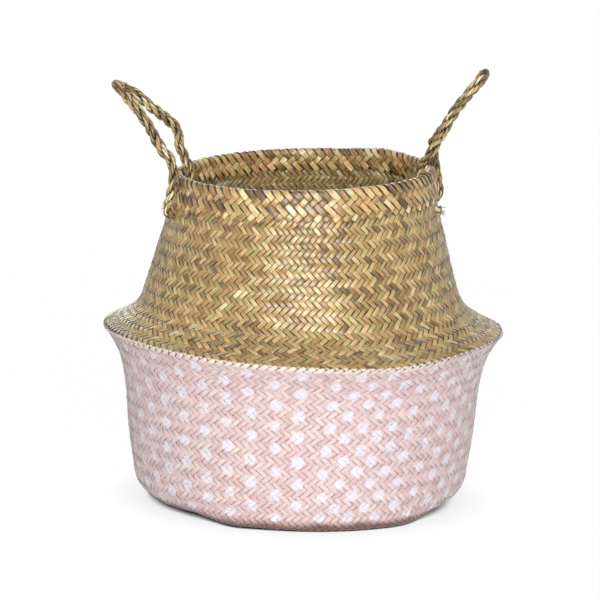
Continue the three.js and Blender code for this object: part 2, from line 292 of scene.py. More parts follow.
class Bundle:
    """The strands of one piece, gathered before they become one mesh."""

    def __init__(self, name):
        self.name = name
        self.batches = []

    def add(self, centre, normal, width, thickness, **marks):
        """Strands with equally many rings: centre and normal are strands by rings by 3, the rest follow."""
        shape = centre.shape[:2]
        run = unit(np.gradient(centre, axis=1))
        across = unit(np.cross(normal, run))
        out = unit(np.cross(run, across))
        wide = np.broadcast_to(width, shape)[..., None, None] * SECTION[:, 0, None]
        thick = np.broadcast_to(thickness, shape)[..., None, None] * SECTION[:, 1, None]
        points = centre[:, :, None] + across[:, :, None] * wide + out[:, :, None] * thick
        steps = np.linalg.norm(np.diff(centre, axis=1), axis=2)
        along = np.concatenate([np.zeros((shape[0], 1)), np.cumsum(steps, axis=1)], 1)
        seed = np.broadcast_to(marks.get("seed", 0.5), shape)
        facing = np.broadcast_to(np.sign(SECTION[:, 1]), points.shape[:3])
        kinds = ("tone", "dive", "turn", "rise")
        flat = {name: np.broadcast_to(marks.get(name, 0.0), shape) for name in kinds}
        radius = np.hypot(centre[..., 0], centre[..., 1])
        tangent = np.stack([-centre[..., 1], centre[..., 0], np.zeros_like(radius)], -1) / radius[..., None]
        aside = points - centre[:, :, None]
        aside_turn = np.sum(aside * tangent[:, :, None], -1) / (FULL_TURN * radius[..., None])
        aside_rise = np.sum(aside * np.cross(out, tangent)[:, :, None], -1)
        self.batches.append({
            "points": points,
            "along": along,
            "tone": self.spread(flat["tone"]),
            "level": np.stack([self.spread(flat["dive"]), facing, self.spread(seed)], -1),
            "fibre": np.stack([self.spread(along), np.broadcast_to(SECTION[:, 0], points.shape[:3]),
                               self.spread(seed)], -1),
            "place": np.stack([self.spread(flat["turn"]) + aside_turn, self.spread(flat["rise"]) + aside_rise,
                               self.spread(radius)], -1),
            "girth": float(np.mean(width) * 2),
        })

    @staticmethod
    def spread(values):
        return np.broadcast_to(values[..., None], (*values.shape, len(SECTION)))

    def layout(self):
        """How many columns and rows of strips the unwrapped strands take."""
        count = sum(len(batch["points"]) for batch in self.batches)
        length = np.mean([batch["along"][:, -1].mean() for batch in self.batches])
        girth = np.mean([batch["girth"] for batch in self.batches])
        columns = max(1, round(math.sqrt(count * girth / length)))
        return columns, math.ceil(count / columns)

    def build(self):
        """One mesh of all the strands, with their unwrapped strips and their marks."""
        layout = self.layout()
        faces = []
        first_point = 0
        first_strand = 0
        for batch in self.batches:
            shape = batch["points"].shape[:3]
            grid = first_point + np.arange(math.prod(shape)).reshape(shape)
            cells = first_strand + np.arange(shape[0])
            faces.append(self.side_faces(batch["along"], grid, cells, layout))
            faces.extend(self.end_caps(grid, cells, layout))
            first_point += grid.size
            first_strand += len(cells)
        points = np.concatenate([batch["points"].reshape(-1, 3) for batch in self.batches])
        corners = np.concatenate([corners for corners, _, _, _ in faces])
        uvs = np.concatenate([places for _, places, _, _ in faces])
        sizes = np.concatenate([np.full(len(corners) // size, size) for corners, _, size, _ in faces])
        smooth = np.concatenate([np.full(len(corners) // size, flag) for corners, _, size, flag in faces])
        starts = np.cumsum(sizes) - sizes
        mesh = bpy.data.meshes.new(self.name)
        mesh.vertices.add(len(points))
        mesh.vertices.foreach_set("co", points.astype(np.float32).ravel())
        mesh.loops.add(len(corners))
        mesh.loops.foreach_set("vertex_index", corners.astype(np.int32))
        mesh.polygons.add(len(starts))
        mesh.polygons.foreach_set("loop_start", starts.astype(np.int32))
        mesh.polygons.foreach_set("use_smooth", smooth)
        layer = mesh.uv_layers.new(name="OFBake")
        layer.data.foreach_set("uv", uvs.astype(np.float32).ravel())
        self.mark(mesh, "tone", "FLOAT", "value")
        for name in ("level", "fibre", "place"):
            self.mark(mesh, name, "FLOAT_VECTOR", "vector")
        mesh.update(calc_edges=True)
        self.sharpen(mesh)
        made = bpy.data.objects.new(self.name, mesh)
        bpy.context.scene.collection.objects.link(made)
        return made

    @staticmethod
    def side_faces(walked, grid, cells, layout):
        """Each strand's sides: corners, unwrapped places, corners per face, and whether they are smooth."""
        strands, rings, sides = grid.shape
        columns, rows = layout
        beside = np.roll(grid, -1, axis=2)
        quads = np.stack([grid[:, :-1], beside[:, :-1], beside[:, 1:], grid[:, 1:]], -1)
        left = (cells % columns)[:, None, None]
        low = (cells // columns)[:, None, None]
        run = (walked / walked[:, -1:])[:, :, None]
        lengthwise = 0.02 + 0.96 * np.broadcast_to(run, grid.shape)
        near, far = lengthwise[:, :-1], lengthwise[:, 1:]
        u = np.stack([near, near, far, far], -1).reshape(strands, rings - 1, sides * 4)
        u = (left + u) / columns
        round_share = np.arange(sides + 1) / sides * 0.92 + 0.04
        this, following = round_share[:-1], round_share[1:]
        turn = np.stack([this, following, following, this], -1).reshape(-1)
        v = (low + np.broadcast_to(turn, u.shape)) / rows
        return quads.reshape(-1), np.stack([u.reshape(-1), v.reshape(-1)], -1), 4, True

    @staticmethod
    def end_caps(grid, cells, layout):
        """The faces that close both ends of each strand, in the same form as its sides."""
        sides = grid.shape[2]
        columns, rows = layout
        left = (cells % columns)[:, None]
        low = (cells // columns)[:, None]
        turn = np.arange(sides) / sides * FULL_TURN
        for ring, order, middle in ((0, slice(None, None, -1), 0.01), (-1, slice(None), 0.99)):
            u = (left + middle + 0.007 * np.cos(turn)) / columns
            v = (low + 0.5 + 0.4 * np.sin(turn)) / rows
            yield grid[:, ring, order].reshape(-1), np.stack([u.reshape(-1), v.reshape(-1)], -1), sides, False

    @staticmethod
    def sharpen(mesh):
        """The long edges of a strand stay crisp, and its length stays smooth."""
        ends = np.zeros(len(mesh.edges) * 2, np.int32)
        mesh.edges.foreach_get("vertices", ends)
        sides = ends.reshape(-1, 2) % len(SECTION)
        lengthwise = sides[:, 0] == sides[:, 1]
        mesh.attributes.new("sharp_edge", "BOOLEAN", "EDGE").data.foreach_set("value", lengthwise)

    def mark(self, mesh, name, kind, field):
        values = np.concatenate([batch[name].reshape(-1) for batch in self.batches])
        mesh.attributes.new(name, kind, "POINT").data.foreach_set(field, values.astype(np.float32))


class Plait:
    """Two families of strands that cross in a turned line: one rises to the right, the other to the left.

    Rows are bounded by edges, counted in crossings of the strand spacing. In each row one family lies over
    the other, and the families change places at each edge.
    """

    def __init__(self, line, count, rows_at, edges, first_over, fill, seed, holes=()):
        self.line = line
        self.count = count
        self.rows_at = rows_at
        self.edges = np.asarray(edges, float)
        self.first_over = first_over
        self.fill = fill
        self.holes = holes
        self.random = np.random.default_rng(seed)
        rows = len(self.edges) - 1
        self.tones = {}
        for family in (1, -1):
            draw = self.random.random
            strand = draw((count, 1))
            self.tones[family] = {
                "tone": 0.62 * strand + 0.38 * draw((count, rows)),
                "seed": np.repeat(draw((count, 1)), rows, 1),
                "tilt": math.radians(7) * (2 * draw((count, rows)) - 1),
                "lift": 0.00012 * (2 * draw((count, rows)) - 1),
                "sway": 0.00028 * (2 * draw((count, rows)) - 1),
                "wide": 0.97 + 0.07 * (2 * draw((count, rows)) - 1) * draw((count, 1)),
            }

    def rings(self, first, last, step):
        """Ring places from one edge to another, and the rows before and after each ring."""
        places, before, after = [], [], []
        for row in range(first, last):
            low, high = self.edges[row], self.edges[row + 1]
            count = max(2, round((high - low - 2 * EDGE_ROOM) / step)) + 1
            inside = np.linspace(low + EDGE_ROOM, high - EDGE_ROOM, count)
            for place in (low, *inside):
                places.append(place)
                before.append(max(row - 1, first) if place == low else row)
                after.append(row)
        places.append(self.edges[last])
        before.append(last - 1)
        after.append(last - 1)
        return np.array(places), np.array(before), np.array(after)

    def weave(self, bundle, family, first, last, step=0.4, trim=None):
        """Adds one family's strands between two edges to a bundle."""
        tones = self.tones[family]
        places, before, after = self.rings(first, last, step)
        mixed = {name: (values[:, before] + values[:, after]) / 2 for name, values in tones.items()}
        ends = np.array([self.edges[row] for row in range(first, last + 1)])
        distance_to_edge = np.min(np.abs(places[:, None] - ends[None]), axis=1)
        over = np.where((after % 2 == 0) == (self.first_over == family), 1.0, -1.0)
        rise = np.clip(distance_to_edge / EDGE_ROOM, 0, 1) * 0.85
        rise = rise + 0.15 * smoothstep(distance_to_edge, EDGE_ROOM, 0.4)
        place = np.broadcast_to(places, (self.count, len(places)))
        if trim is not None:
            place = trim(place, self.random)
        strands = np.arange(self.count)[:, None] + (0.25 if family > 0 else 0.75)
        around = FULL_TURN / self.count * (strands + family * place)
        distance = self.distance_at(place)
        radius = self.line(distance)[0]
        around = around + mixed["sway"] / radius
        for height, waves, start in ROW_WAVES:
            distance = distance + height * np.sin(waves * around + start)
        around, distance = self.round_holes(around, distance, radius)
        offset = over * rise * CROSSING_OFFSET + mixed["lift"]
        centre = self.placed(around, distance, offset)
        ahead = self.placed(around + TURN_STEP, distance, offset)
        behind = self.placed(around - TURN_STEP, distance, offset)
        pitch = (ahead - behind) * (math.pi / self.count / TURN_STEP)
        above = self.placed(around, distance + FINE_STEP, offset)
        row = above - self.placed(around, distance - FINE_STEP, offset)
        row_height = np.interp(place, self.rows_at[0], np.gradient(self.rows_at[1], self.rows_at[0]))
        row = row * (row_height / FINE_STEP / 2)[..., None]
        cell = np.cross(pitch, row)
        room = np.linalg.norm(cell, axis=-1) / np.linalg.norm(row + family * pitch, axis=-1)
        run = unit(np.gradient(centre, axis=1))
        tilt = mixed["tilt"][..., None] * rise[:, None]
        normal = unit(cell)
        normal = unit(normal + np.cross(run, normal) * np.tan(tilt))
        width = room * self.fill * mixed["wide"]
        bundle.add(
            centre, normal, width, STRAND_THICKNESS,
            tone=mixed["tone"], seed=mixed["seed"], dive=(1 - over * rise)[None] / 2,
            turn=around / FULL_TURN, rise=self.rise_of(distance),
        )

    def placed(self, around, distance, offset):
        radius, height, out, up = self.line(distance)
        radius = radius + out * offset
        return settle(np.stack([radius * np.cos(around), radius * np.sin(around), height + up * offset], -1))

    def distance_at(self, place):
        return np.interp(place, self.rows_at[0], self.rows_at[1])

    def rise_of(self, distance):
        return distance - self.distance_at(0.0)

    def round_holes(self, around, distance, radius):
        """Strands are pushed aside where a rope passes through."""
        for hole_around, hole_distance in self.holes:
            across = radius * ((around - hole_around + math.pi) % FULL_TURN - math.pi)
            up = distance - hole_distance
            far = np.maximum(np.hypot(across, up), 1e-6)
            pushed = np.cbrt(far**3 + (HOLE_SHARE * ROPE_RADIUS) ** 3)
            share = (pushed / far - 1) * (1 - smoothstep(far, *HOLE_SPREAD))
            around = around + across * share / radius
            distance = distance + up * share
        return around, distance


def foot_angles():
    """Where around the basket the four rope feet pass through the wall."""
    return [data["turn"] + side * angle for data in HANDLES.values() for side, angle in FOOT_ANGLES.items()]


def strand_width(radius):
    """Strands spread a little where the wall is wider."""
    return bpy.context.scene.basket.weave.strand_width * (radius / HEEL_RADIUS) ** 0.4


def wall_plait():
    """The wall's own plait, from the lip under the heel to the rim, with row edges counted from the fold."""
    weave = bpy.context.scene.basket.weave
    outer = outer_line()
    line = outer.moved(-MIDDLE_DEPTH)
    width = strand_width(line.points[:, 0])
    lean = np.arcsin(width * weave.strands / (FULL_TURN * line.points[:, 0]))
    speed = np.cos(lean) / width
    counted = np.concatenate([[0], np.cumsum((speed[1:] + speed[:-1]) / 2 * np.diff(line.at))])
    fold_at = line.at[np.argmax(line.points[:, 0])]
    counted -= np.interp(fold_at, line.at, counted)
    edges = np.arange(math.ceil(counted[0]), math.floor(counted[-1]) + 1)
    hole_at = line.distance_at_height(HOLE_HEIGHT)
    over = 1 if edges[0] % 2 else -1
    return Plait(
        line, weave.strands, (counted, line.at), edges, over, weave.fill,
        seed=SEEDS["wall"], holes=[(angle, hole_at) for angle in foot_angles()],
    )


def hem_line(outer):
    """The middle of the hem's band: up the outside, round over the rim and down the inside."""
    from_seat = outer.at >= outer.distance_at_height(HEM_SEAT_HEIGHT - HEM_LINE_ROOM)
    points, normals = outer.points[from_seat], outer.normals[from_seat]
    flap = SEAM + HEM_THICKNESS / 2
    out = normals[-1]
    along = np.array([-out[1], out[0]])
    bead = points[-1] - out * WALL_THICKNESS / 2 + along * SEAM
    start = math.atan2(out[1], out[0])
    reach = flap + WALL_THICKNESS / 2
    turns = np.linspace(start, start + math.pi, 16)
    arc = [bead + reach * np.array([math.cos(t), math.sin(t)]) for t in turns]
    inner = (points - normals * (WALL_THICKNESS + flap))[::-1]
    line = Line([*(points + normals * flap)[:-1], *arc, *inner[1:]])
    top = line.at[np.argmax(line.points[:, 1])]
    return line, top


def hem_plait():
    """The hem's plait: wider strands, with rows counted from the rim's top, positive on the inside."""
    weave = bpy.context.scene.basket.weave
    outer = outer_line()
    line, top = hem_line(outer)
    counted = (line.at - top) / weave.hem_row
    return Plait(line, weave.hem_strands, (counted, line.at), HEM_EDGES, 1, weave.hem_fill, seed=SEEDS["hem"])


def ragged_ends(place, random):
    """Hem strands end a little unevenly, on both sides of the rim."""
    low, high = place.min(), place.max()
    shift = random.uniform(-RAGGED_SHIFT, RAGGED_SHIFT, (place.shape[0], 2))
    near_low = np.clip((low + RAGGED_ROWS - place) / RAGGED_ROWS, 0, 1)
    near_high = np.clip((place - high + RAGGED_ROWS) / RAGGED_ROWS, 0, 1)
    return place + near_low * shift[:, :1] + near_high * shift[:, 1:]


def finish_piece(made, finish, nodes):
    """Gives a piece its finish and hides the solids that it stands for."""
    made.data.materials.append(finish)
    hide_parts(*nodes)
    return made


class Value:
    """A shader socket in an expression: arithmetic on it adds the Math nodes."""

    def __init__(self, shader, socket):
        self.shader = shader
        self.socket = socket

    def maths(self, operation, *values, clamp=False):
        settings = {"operation": operation, "use_clamp": clamp}
        return self.shader.node("ShaderNodeMath", settings, dict(enumerate(values)))

    def __add__(self, other):
        return self.maths("ADD", self, other)

    __radd__ = __add__

    def __sub__(self, other):
        return self.maths("SUBTRACT", self, other)

    def __rsub__(self, other):
        return self.maths("SUBTRACT", other, self)

    def __mul__(self, other):
        return self.maths("MULTIPLY", self, other)

    __rmul__ = __mul__

    def __truediv__(self, other):
        return self.maths("DIVIDE", self, other)

    def __rtruediv__(self, other):
        return self.maths("DIVIDE", other, self)

    def __mod__(self, other):
        return self.maths("FLOORED_MODULO", self, other)

    def __rmod__(self, other):
        return self.maths("FLOORED_MODULO", other, self)

    def maximum(self, other):
        return self.maths("MAXIMUM", self, other)

    def rounded(self):
        return self.maths("ROUND", self)

    def size(self):
        return self.maths("ABSOLUTE", self)

    def root(self):
        return self.maths("SQRT", self)

    def share(self, low, high):
        """0 below low, 1 above high and straight between them."""
        return self.maths("MULTIPLY", self - low, 1 / (high - low), clamp=True)

    def between(self, low, high):
        """0 below low, 1 above high and smooth between them. Low may be the larger."""
        settings = {"interpolation_type": "SMOOTHSTEP"}
        return self.shader.node("ShaderNodeMapRange", settings, {0: self, 1: low, 2: high})


class Shader:
    """The node tree of one material, or of the world."""

    def __init__(self, owner):
        self.owner = owner
        owner.use_nodes = True
        self.tree = owner.node_tree
        self.tree.nodes.clear()

    def node(self, kind, settings=None, sockets=None, output=0):
        """Adds a node: its settings are set first, then the values or links of its sockets."""
        made = self.tree.nodes.new(kind)
        for name, value in (settings or {}).items():
            if name == "stops":
                self.set_stops(made.color_ramp, value)
            else:
                setattr(made, name, value)
        for key, value in (sockets or {}).items():
            if isinstance(value, Value):
                self.tree.links.new(value.socket, made.inputs[key])
            else:
                made.inputs[key].default_value = value
        return Value(self, made.outputs[output]) if made.outputs else None

    @staticmethod
    def set_stops(ramp, stops):
        """Gives a ramp its stops, each a position and a colour in linear values."""
        while len(ramp.elements) < len(stops):
            ramp.elements.new(0.5)
        for element, (position, colour) in zip(ramp.elements, stops):
            element.position = position
            element.color = opaque(colour)

    def attribute(self, name, output="Fac"):
        return self.node("ShaderNodeAttribute", {"attribute_name": name}, output=output)

    def split(self, vector):
        parts = self.node("ShaderNodeSeparateXYZ", None, {0: vector}).socket.node
        return [Value(self, socket) for socket in parts.outputs]

    def vector(self, x, y, z):
        return self.node("ShaderNodeCombineXYZ", None, {0: x, 1: y, 2: z})

    def noise(self, vector, scale=1.0, detail=2.0, roughness=0.5):
        sockets = {"Vector": vector, "Scale": scale, "Detail": detail, "Roughness": roughness}
        return self.node("ShaderNodeTexNoise", None, sockets)

    def mix(self, share, first, second, blend="MIX"):
        settings = {"data_type": "RGBA", "blend_type": blend}
        return self.node("ShaderNodeMix", settings, {0: share, 6: first, 7: second}, output=2)

    def ramp(self, share, stops):
        return self.node("ShaderNodeValToRGB", {"stops": stops}, {0: share})

    def grey(self, value):
        return self.node("ShaderNodeCombineColor", None, {0: value, 1: value, 2: value})

    def shaded(self, colour, value):
        """A colour made darker or lighter by a value."""
        return self.mix(1.0, colour, self.grey(value), "MULTIPLY")

    def seen_plainly(self):
        """1 for what is seen, straight or by way of gloss or glass, and 0 for rays that only carry light."""
        names = ("Is Camera Ray", "Is Glossy Ray", "Is Transmission Ray")
        camera, glossy, transmission = (self.node("ShaderNodeLightPath", output=name) for name in names)
        return camera.maximum(glossy).maximum(transmission)

    def surface(self, colour, roughness, height, depth, **constants):
        relief = self.node("ShaderNodeBump", None, {"Height": height, "Distance": depth, "Strength": 1.0})
        sockets = {"Base Color": colour, "Roughness": roughness, "Normal": relief, **constants}
        return self.finished(self.node("ShaderNodeBsdfPrincipled", None, sockets))

    def finished(self, shader):
        self.node("ShaderNodeOutputMaterial", None, {"Surface": shader})
        return self.owner


def linear(colour):
    """A colour of 0 to 255 levels as scene-linear values."""
    shares = [level / 255 for level in colour]
    return tuple(s / 12.92 if s <= 0.04045 else ((s + 0.055) / 1.055) ** 2.4 for s in shares)


def opaque(colour):
    return (*colour, 1)


def tinted(stops, name):
    """A table's shades in linear values, changed by as much as the user's colour differs from its default."""
    colours = bpy.context.scene.basket.colours
    usual = colours.bl_rna.properties[name].default_array
    change = [chosen / value for chosen, value in zip(getattr(colours, name), usual)]
    return [(place, [value * own for value, own in zip(linear(levels), change)]) for place, levels in stops]


# Shades of split seagrass from its darkest strands to its palest, in levels of 0 to 255
SEAGRASS = [
    (0.0, (84, 58, 34)),
    (0.16, (120, 96, 55)),
    (0.3, (157, 131, 83)),
    (0.42, (186, 153, 102)),
    (0.54, (179, 159, 107)),
    (0.66, (205, 180, 129)),
    (0.78, (211, 180, 128)),
    (0.88, (221, 202, 155)),
    (1.0, (239, 228, 192)),
]
HEM_WARMTH = (1.05, 1.03, 1.01)
HEM_GRASS = [
    (place, [min(level * warmth, 255) for level, warmth in zip(levels, HEM_WARMTH)])
    for place, levels in SEAGRASS
]
ROPE_GRASS = [
    (0.0, (52, 38, 26)),
    (0.2, (88, 70, 42)),
    (0.4, (132, 110, 68)),
    (0.56, (164, 136, 88)),
    (0.72, (186, 164, 116)),
    (0.86, (216, 198, 150)),
    (1.0, (238, 226, 188)),
]

# How strands differ in hue, from greenish through plain to orange and pink
HUES = [
    (0.0, (232, 238, 214)),
    (0.25, (246, 246, 232)),
    (0.5, (255, 252, 246)),
    (0.75, (255, 242, 224)),
    (1.0, (253, 232, 226)),
]

# Shades of the pink paint, from where it is thin to where it is thick
PINKS = [
    (0.0, (212, 179, 178)),
    (0.3, (224, 197, 196)),
    (0.6, (230, 208, 206)),
    (0.85, (235, 215, 207)),
    (1.0, (238, 222, 213)),
]

# Where the painter's columns crowd or spread: between two shares of a turn, by how many columns. From one
# shear to the other they stand aside, and further the lower they are
CROWDING = [(0.775, 0.85, 0.65), (0.87, 0.98, 0.55), (0.744, 0.769, -0.2)]
SHEAR_START = (0.73, 0.8)
SHEAR_END = (0.93, 1.0)

# A dot fades out between two shares of its diameter, and its radius differs by up to half of a spread
DOT_FADE = (0.62, 0.4)
DOT_SPREAD = 0.0008


class Grass:
    """The marks of a strand, its streaks, and the painted shade in its hollows, along its edges and on its
    inner faces, that every seagrass finish starts from.
    """

    def __init__(self, shader, border=0.34):
        self.tone = shader.attribute("tone")
        self.along, self.across, self.seed = shader.split(shader.attribute("fibre", "Vector"))
        dive, self.facing, _ = shader.split(shader.attribute("level", "Vector"))
        fine = shader.vector(self.along * 60, self.across * 6.5, self.seed * 97)
        self.streaks = shader.noise(fine, detail=3.0, roughness=0.6)
        broad = shader.vector(self.along * 90, self.across * 1.2, self.seed * 53)
        self.cloud = shader.noise(broad, detail=1.0)
        # Painted shade in the hollows: darker where a strand dives under the one it crosses
        self.crevice_shade = ((dive - 0.5) * self.facing + 0.5).between(0.25, 0.95)
        # Painted shade on the strand faces that look into the basket's dim inside
        self.inside = self.facing.between(-0.1, -0.5)
        # Painted shade: thin dark lines along each strand's edges, broken up by slits
        slit = shader.noise(shader.vector(self.along * 130, self.seed * 31, self.tone * 17), detail=0.0)
        self.edge = self.across.size().between(border, 0.46) * (slit.between(0.42, 0.62) * 0.6 + 0.4)

    def colour(self, shader, stops, darkness, contrast=1.0):
        """The natural colour of the strand, with painted shade in its hollows, along its edges and on its
        inner faces.
        """
        turn, rise, _ = shader.split(shader.attribute("place", "Vector"))
        patch = shader.noise(shader.vector(turn * 9, rise * 14, 0.0), detail=1.0)
        own = (self.tone - 0.5) * 0.8 + (self.cloud - 0.5) * 0.45 + (self.streaks - 0.5) * 0.4
        shade = own * contrast + (patch - 0.5) * 0.3 + 0.54
        hue = (self.seed * 5.3 + self.tone * 1.7) % 1.0
        hues = [(place, linear(levels)) for place, levels in HUES]
        plain = shader.mix(1.0, shader.ramp(shade, stops), shader.ramp(hue, hues), "MULTIPLY")
        light = (self.streaks - 0.5) * 1.3 + 1
        shadow = (1 - self.crevice_shade * darkness) * (1 - self.edge * 0.9) * (1 - self.inside * 0.22)
        return shader.shaded(plain, light * shadow)


def seagrass(name, stops, darkness=0.85, roughness=0.38, contrast=1.0, border=0.34):
    """Natural split seagrass: streaked along each strand, with a low gloss that the streaks break up."""
    shader = Shader(bpy.data.materials.new(name))
    grass = Grass(shader, border)
    rough = grass.streaks * 0.25 + (roughness - 0.12)
    colour = grass.colour(shader, stops, darkness, contrast)
    return shader.surface(colour, rough, grass.streaks, 0.00016, **{"Specular IOR Level": 0.8})


def painter_columns(turn, depth):
    """Which column of dots a place is in, and how many columns a whole turn would hold there."""
    paint = bpy.context.scene.basket.paint
    whole_turn = turn % 1.0
    shear = depth * paint.dot_shear
    column = whole_turn * paint.dot_columns
    density = paint.dot_columns
    for low, high, columns in (*CROWDING, (*SHEAR_START, shear), (*SHEAR_END, 0 - shear)):
        share = whole_turn.share(low, high)
        column = share * share * (3 - share * 2) * columns + column
        density = share * (1 - share) * columns * (6 / (high - low)) + density
    return column, density


def dot_cover(shader, turn, depth, radius, ragged):
    """How far a place is covered by the white dots, which stand in two staggered sets of columns."""
    paint = bpy.context.scene.basket.paint
    column, density = painter_columns(turn, depth)
    row = (depth - paint.first_dots) / paint.dot_spacing
    pitch = radius * FULL_TURN / density
    dots = None
    for shift in (0.0, 0.5):
        shifted_column = column + shift
        shifted_row = row + shift
        cell_column = shifted_column.rounded()
        cell_row = shifted_row.rounded()
        cell = shader.vector(cell_column % (paint.dot_columns + 1), cell_row, shift * 7)
        stray = shader.node("ShaderNodeTexWhiteNoise", None, {"Vector": cell}, output="Color")
        stray_x, stray_y, size = shader.split(stray)
        across = (shifted_column - cell_column) * pitch + (stray_x - 0.5) * paint.dot_stray
        down = (shifted_row - cell_row) * paint.dot_spacing + (stray_y - 0.5) * paint.dot_stray
        away = (across * across + down * down).root() + ragged - (size - 0.5) * DOT_SPREAD
        none, full = (paint.dot_diameter * share for share in DOT_FADE)
        cell_depth = (cell_row - shift) * paint.dot_spacing + paint.first_dots
        in_rows = cell_row.between(-0.6, -0.4) * cell_depth.between(paint.last_dots + 0.001, paint.last_dots)
        dot = away.between(none, full) * in_rows
        dots = dot if dots is None else dots.maximum(dot)
    return dots


def dotted_paint(name):
    """Pink paint on the outside of the belly, with white dots in staggered rows; the inside stays natural."""
    colours = bpy.context.scene.basket.colours
    shader = Shader(bpy.data.materials.new(name))
    grass = Grass(shader)
    turn, rise, radius = shader.split(shader.attribute("place", "Vector"))
    natural = grass.colour(shader, tinted(SEAGRASS, "grass"), 0.75)
    brush = shader.noise(shader.vector(grass.along * 200, grass.seed * 61, grass.tone * 13), detail=2.0)
    coat = shader.ramp(grass.tone * 0.75 + (brush - 0.5) * 0.7 + 0.12, tinted(PINKS, "pink"))
    dots = dot_cover(shader, turn, 0 - rise, radius, (brush - 0.5) * 0.0012)
    crest = rise.between(-0.0052, -0.0042)
    # Painted shadow near the floor: the heel's bottom is darker up to a ragged line
    foot_shadow_ragging = shader.noise(shader.vector(turn * 40, rise * 60, 0.0), detail=2.0)
    _, _, height = shader.split(shader.node("ShaderNodeTexCoord", output="Object"))
    foot = (height + (foot_shadow_ragging - 0.5) * 0.008).between(0.010, 0.0035)
    # The top row under the fold is paler
    coat = shader.mix(crest * 0.75, coat, opaque(colours.crest))
    # Painted shade: a darker band low on the belly, where the heel turns under
    coat = shader.mix((0 - rise).between(0.142, 0.158) * 0.55, coat, opaque(colours.low_band_shade))
    coat = shader.mix(foot * 0.85, coat, opaque(colours.foot_shadow))
    coat = shader.shaded(coat, grass.streaks * 0.4 + 0.8)
    # Painted shade in the hollows between strands, stronger along the top row under the fold
    coat = shader.mix(grass.crevice_shade * (0.18 + crest * 0.6), coat, opaque(colours.hollow_shade_colour))
    # Painted shade along the strands' edges, a little stronger along that row
    coat = shader.mix(grass.edge * (0.62 + crest * 0.2), coat, opaque(colours.strand_edge_shade))
    coat = shader.mix(dots * 0.72, coat, opaque(colours.dots))
    outside = grass.facing.between(-0.5, -0.1)
    painted = outside * rise.between(0.0009, 0.0001)
    final = shader.mix(painted, natural, coat)
    rough = 0.5 + painted * 0.2 + grass.streaks * 0.1
    chalk = {"Specular IOR Level": 0.3, "Sheen Weight": 0.4, "Sheen Roughness": 0.5}
    return shader.surface(final, rough, grass.streaks, 0.00012, **chalk)


def make_wall(name, first, last, families, finish, nodes):
    """Makes one piece of the wall between two row edges. No edge means the plait's own end."""
    plait = wall_plait()
    index = {edge: i for i, edge in enumerate(plait.edges.astype(int))}
    start = 0 if first is None else index[first]
    end = len(plait.edges) - 1 if last is None else index[last]
    bundle = Bundle(name)
    for family in families:
        plait.weave(bundle, family, start, end)
    return finish_piece(bundle.build(), finish, nodes)


def edge_at_height(height, above_fold):
    """The row edge nearest to a height, below or above the fold."""
    plait = wall_plait()
    _, heights, _, _ = plait.line(plait.distance_at(plait.edges))
    side = (plait.edges > 0) if above_fold else (plait.edges < 0)
    nearest = np.argmin(np.where(side, np.abs(heights - height), 1))
    return int(plait.edges[nearest]), float(heights[nearest])


def material(name, maker, *arguments, **options):
    """A finish by its name, made the first time that it is asked for."""
    found = bpy.data.materials.get(name)
    return found or maker(name, *arguments, **options)


class BASKET_OT_base_mat(Operator):
    """Plaits the flat bottom from straight strips that cross square to each other"""
    bl_idname = "basket.base_mat"
    bl_label = "Base Mat"

    def execute(self, context):
        width = context.scene.basket.weave.strand_width * BASE_STRIP_SHARE
        reach = LIP_RADIUS + BASE_OVERLAP
        count = int(2 * reach / width)
        random = np.random.default_rng(SEEDS["base"])
        bundle = Bundle("base_weave_strips")
        for direction in (0, 1):
            for i in range(count):
                aside = (i + 0.5 - count / 2) * width
                half = math.sqrt(max(reach**2 - (abs(aside) + width / 2) ** 2, 0))
                if half >= width:
                    self.lay_strip(bundle, direction, i, count, width, half, random)
        finish = material("seagrass_base", seagrass, tinted(SEAGRASS, "grass"))
        made = finish_piece(bundle.build(), finish, ["base_mat"])
        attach(made, "belly")
        return {"FINISHED"}

    def lay_strip(self, bundle, direction, i, count, width, half, random):
        """Adds a strip that runs to both sides of the middle by half, over two strips and under two."""
        low = math.ceil((-half) / width + count / 2 - 0.5)
        crossings = np.arange(low, count - low)
        at = np.sort(np.concatenate([crossings - CROSSING_REACH, crossings + CROSSING_REACH]))
        over = np.where(((i + np.repeat(crossings, 2)) % 4 < 2) == (direction == 0), 1.0, -1.0)
        along = (at + 0.5 - count / 2) * width
        flat = [along, np.full_like(along, (i + 0.5 - count / 2) * width)]
        x, y = flat if direction == 0 else flat[::-1]
        turned_x = x * math.cos(BASE_TURN) - y * math.sin(BASE_TURN)
        turned_y = x * math.sin(BASE_TURN) + y * math.cos(BASE_TURN)
        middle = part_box("base_mat")[1].z / 2
        height = middle + over * CROSSING_OFFSET + LIP_RISE * smoothstep(np.hypot(x, y), *LIP_SLOPE)
        centre = np.stack([turned_x, turned_y, height], -1)[None]
        normal = np.broadcast_to([0.0, 0.0, 1.0], centre.shape)
        tone = random.random() * 0.6 + random.random((1, len(at))) * 0.3
        bundle.add(settle(centre), normal, width * BASE_STRIP_FILL, STRAND_THICKNESS, tone=tone,
                   seed=random.random(), dive=(1 - over)[None] / 2)


class BASKET_OT_belly(Operator):
    """Plaits the painted belly: the turned heel, the lower wall and the sharp fold"""
    bl_idname = "basket.belly"
    bl_label = "Painted Belly"

    def execute(self, context):
        finish = material("seagrass_painted", dotted_paint)
        heel_top, _ = edge_at_height(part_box("heel_ring")[1].z, False)
        pieces = [
            ("heel_weave", None, heel_top, (1, -1), ["heel_ring"]),
            ("lower_wall_rising_strands", heel_top, -FOLD_ROWS, (1,), ["lower_wall"]),
            ("lower_wall_falling_strands", heel_top, -FOLD_ROWS, (-1,), ["lower_wall"]),
            ("fold_weave", -FOLD_ROWS, FOLD_ROWS, (1, -1), ["fold_edge"]),
        ]
        for name, first, last, families, nodes in pieces:
            made = make_wall(name, first, last, families, finish, nodes)
            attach(made, "belly")
        return {"FINISHED"}


